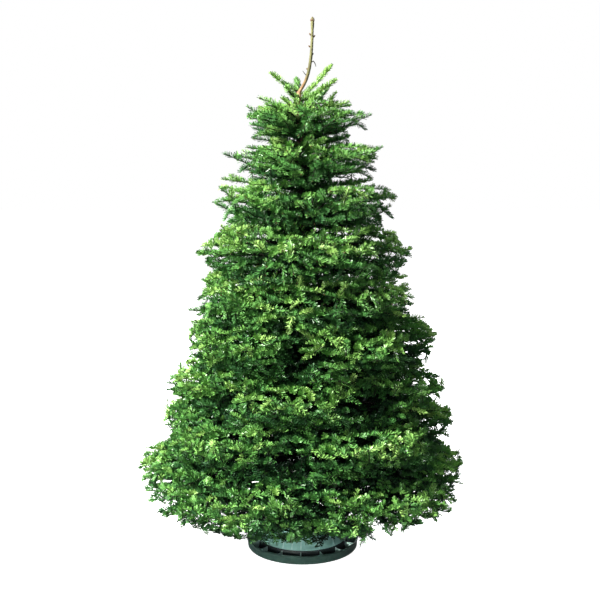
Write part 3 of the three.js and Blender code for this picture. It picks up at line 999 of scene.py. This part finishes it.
# Dry stubs on the leader: height, then steps to the right and up, and the radius at the foot.
STUBS = [
    (1.888, [(0.004, 0.0), (0.012, 0.003), (0.018, -0.006), (0.021, -0.017)], 0.003),
    (1.838, [(-0.004, 0.0), (-0.012, 0.009), (-0.018, 0.017)], 0.0024),
    (1.79, [(-0.004, 0.0), (-0.014, 0.012), (-0.02, 0.02)], 0.003),
]
stubs = Bundle()
for height, steps, radius in STUBS:
    foot = trunk_centre(height)
    line = [foot, *[foot + np.array([right, -0.002, up]) for right, up in steps]]
    stubs.add(*tube(line, np.linspace(radius, radius * 0.4, len(line)), 7))
# The stubs take the bough bark with its painted shade.
stub_piece = stubs.piece("leader_stubs", [bough_bark])
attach(stub_piece, "root")

# ---------------------------------------------------------------- stand
STAND_SEGMENTS = 180
RIB_COUNT = 15
FIRST_RIB = math.radians(-92.3)
SEAM = math.radians(-104.0)
DOME_OUTLINE = [  # the dome's outer face from its foot to the socket: radius and height
    (0.18, 0.0056),
    (0.1786, 0.016),
    (0.1758, 0.034),
    (0.1748, 0.0388),
    (0.1725, 0.0426),
    (0.16, 0.0686),
    (0.1495, 0.0905),
    (0.1455, 0.0966),
    (0.138, 0.0994),
    (0.11, 0.1022),
    (0.07, 0.1066),
    (0.0565, 0.108),
]
SHOULDER_ROW = 3
BROW_ROW = 7
RIM_OUTLINE = [  # the tray, from the middle of its underside round the rim: radius and height
    (0.001, 0.0),
    (0.213, 0.0),
    (0.2165, 0.0008),
    (0.218, 0.003),
    (0.2186, 0.012),
    (0.2192, 0.026),
    (0.2212, 0.0282),
    (0.222, 0.0302),
    (0.222, 0.033),
    (0.221, 0.0346),
    (0.219, 0.0352),
    (0.2166, 0.035),
    (0.215, 0.0338),
    (0.2144, 0.03),
    (0.2138, 0.009),
    (0.2115, 0.0054),
    (0.208, 0.005),
    (0.001, 0.005),
]
DOME_INSIDE = [(0.0565, 0.104), (0.14, 0.0935), (0.1685, 0.036), (0.175, 0.0056)]
FIN_PATH = [(0.178, 0.0325), (0.19, 0.031), (0.206, 0.0315), (0.2146, 0.0335)]
RIB_SECTION = (0.0034, 0.003, 0.002)  # width, rise, and how far it is sunk
FIN_SECTION = (0.003, 0.0006, 0.026)


def lathe(outline, segments):
    """A surface of revolution about the stand's axis, facing outwards where the outline climbs."""
    angles = np.linspace(0, 2 * math.pi, segments, endpoint=False)
    outline = np.array(outline)
    around = np.stack([np.cos(angles), np.sin(angles)], axis=1)
    flat = outline[:, None, :1] * around[None]
    rise = np.repeat(outline[:, None, 1:], segments, axis=1)
    return np.concatenate([flat, rise], axis=2).reshape(-1, 3), grid_faces(len(outline), segments)


def ridge(path, azimuth, section):
    """A bar along a path of radius and height, with a section of (sideways, up) steps."""
    outward = np.array([math.cos(azimuth), math.sin(azimuth), 0.0])
    sideways = np.array([-math.sin(azimuth), math.cos(azimuth), 0.0])
    path = np.array(path)
    section = np.array(section)
    line = path[:, :1] * outward + path[:, 1:] * UP
    vertices = line[:, None] + section[None, :, :1] * sideways + section[None, :, 1:] * UP
    return vertices.reshape(-1, 3), grid_faces(len(path), len(section))


def rounded_bar(width, rise, sunk):
    """The section of a bar with a rounded top, sunk into the surface that bears it."""
    half = width / 2
    return [(-half, -sunk), (half, -sunk), (half, 0.5 * rise), (half * 0.55, rise), (-half * 0.55, rise),
            (-half, 0.5 * rise)]


stand_green = grain("stand_green", linear(58, 84, 75), linear(74, 102, 92), 38.0, 0.36, 0.0003)[0]
# Painted shade: the near-black green of the dome's steep side stands for the shade in the gutter.
gutter_painted_shade = grain("gutter_painted_shade", linear(22, 32, 32), linear(32, 44, 44), 38.0, 0.5, 0.0003)[0]
# Painted light: the dome is the rim's own plastic, painted much paler as if lit from above.
dome_painted_light = grain("dome_painted_light", linear(128, 176, 166), linear(146, 194, 184), 30.0, 0.34, 0.0003)[0]
# Painted highlight: ribs and fins are painted pale, as light catching their tops.
rib_highlight = grain("rib_painted_highlight", linear(158, 192, 186), linear(186, 214, 208), 90.0, 0.4, 0.0002)[0]
screw_steel, _, steel_shader, _ = grain(
    "screw_steel", linear(120, 122, 120), linear(168, 170, 168), 300.0, 0.34, 0.0002
)
steel_shader.inputs["Metallic"].default_value = 0.95

tray = mesh_piece("stand_tray", *lathe(RIM_OUTLINE, STAND_SEGMENTS), [stand_green])
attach(tray, "root")
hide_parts("stand_base", "stand_rim")

# Faces below the dome's shoulder take the gutter's painted shade.
dome_vertices, dome_faces = lathe([*DOME_OUTLINE, *DOME_INSIDE, DOME_OUTLINE[0]], STAND_SEGMENTS)
gutter_shade_faces = np.arange(len(dome_faces)) < SHOULDER_ROW * STAND_SEGMENTS
dome = mesh_piece("stand_dome_shell", dome_vertices, dome_faces, [dome_painted_light, gutter_painted_shade], gutter_shade_faces)
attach(dome, "root")
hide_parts("stand_dome")

# Ribs up the dome with a fin across the gutter at the foot of each, and one more rib at the seam.
bars = Bundle()
rib_path = DOME_OUTLINE[SHOULDER_ROW:BROW_ROW + 1]
for number in range(RIB_COUNT):
    azimuth = FIRST_RIB + 2 * math.pi * number / RIB_COUNT
    bars.add(*ridge(rib_path, azimuth, rounded_bar(*RIB_SECTION)))
    bars.add(*ridge(FIN_PATH, azimuth, rounded_bar(*FIN_SECTION)))
bars.add(*ridge(rib_path, SEAM, rounded_bar(*RIB_SECTION)))
# The ribs and fins take the pale painted highlight.
bar_piece = bars.piece("stand_ribs", [rib_highlight])
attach(bar_piece, "root")

for name in sorted(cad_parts):
    if name.startswith("stand_screw") or name == "stand_socket":
        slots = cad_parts[name].material_slots
        for material_slot in slots:
            material_slot.material = screw_steel if "screw" in name else stand_green

# ---------------------------------------------------------------- floor, light and camera
floor_mesh = bpy.data.meshes.new("floor")
floor_mesh.from_pydata([(-30, -30, 0), (30, -30, 0), (30, 30, 0), (-30, 30, 0)], [], [(0, 1, 2, 3)])
floor = bpy.data.objects.new("floor", floor_mesh)
bpy.context.scene.collection.objects.link(floor)
floor_paint, _, floor_shader = new_material("floor_paint", (0.8, 0.8, 0.8, 1), 0.9)
floor_shader.inputs["Emission Color"].default_value = (1, 1, 1, 1)
floor_shader.inputs["Emission Strength"].default_value = 1.05
floor_mesh.materials.append(floor_paint)
floor.visible_diffuse = False
floor.visible_glossy = False

world = bpy.data.worlds.new("studio")
world.use_nodes = True
bpy.context.scene.world = world
tree = world.node_tree
tree.nodes.clear()
output = tree.nodes.new("ShaderNodeOutputWorld")
mix = tree.nodes.new("ShaderNodeMixShader")
seen = tree.nodes.new("ShaderNodeBackground")
lit = tree.nodes.new("ShaderNodeBackground")
path = tree.nodes.new("ShaderNodeLightPath")
seen.inputs["Color"].default_value = (1, 1, 1, 1)
lit.inputs["Color"].default_value = (0.9, 0.96, 1.0, 1)
lit.inputs["Strength"].default_value = 0.1
tree.links.new(path.outputs["Is Camera Ray"], mix.inputs["Fac"])
tree.links.new(lit.outputs["Background"], mix.inputs[1])
tree.links.new(seen.outputs["Background"], mix.inputs[2])
tree.links.new(mix.outputs["Shader"], output.inputs["Surface"])


def area_light(name, place, aim, size, power, color, spread=180):
    lamp = bpy.data.lights.new(name, "AREA")
    lamp.size = size
    lamp.energy = power
    lamp.spread = math.radians(spread)
    lamp.color = color
    light = bpy.data.objects.new(name, lamp)
    light.location = place
    direction = np.array(aim) - np.array(place)
    light.rotation_euler = (math.atan2(math.hypot(direction[0], direction[1]), -direction[2]), 0.0,
                            math.atan2(direction[1], direction[0]) - math.pi / 2)
    bpy.context.scene.collection.objects.link(light)


area_light("key", (-3.5, -2.3, 4.4), (0, 0, 0.9), 1.2, 1300, (1.0, 0.99, 0.93))
area_light("back", (2.2, 3.9, 3.2), (0, 0, 0.9), 2.8, 520, (0.95, 0.98, 1.0))
area_light("stand", (-1.25, -2.7, 0.45), (0, 0, 0.05), 0.4, 2.3, (0.94, 1.0, 0.98), 40)
area_light("fill", (0.6, -3.9, 1.6), (0, 0, 0.5), 2.2, 24, (0.92, 0.98, 1.0))

camera_data = bpy.data.cameras.new("camera")
camera_data.sensor_width = 36
camera_data.lens = 59.3
camera = bpy.data.objects.new("camera", camera_data)
camera.location = (-0.0104, -3.8, 1.5)
camera.rotation_euler = (math.radians(90 - 7.71), 0, 0)
bpy.context.scene.collection.objects.link(camera)
bpy.context.scene.camera = camera
bpy.context.scene.view_settings.view_transform = "Standard"
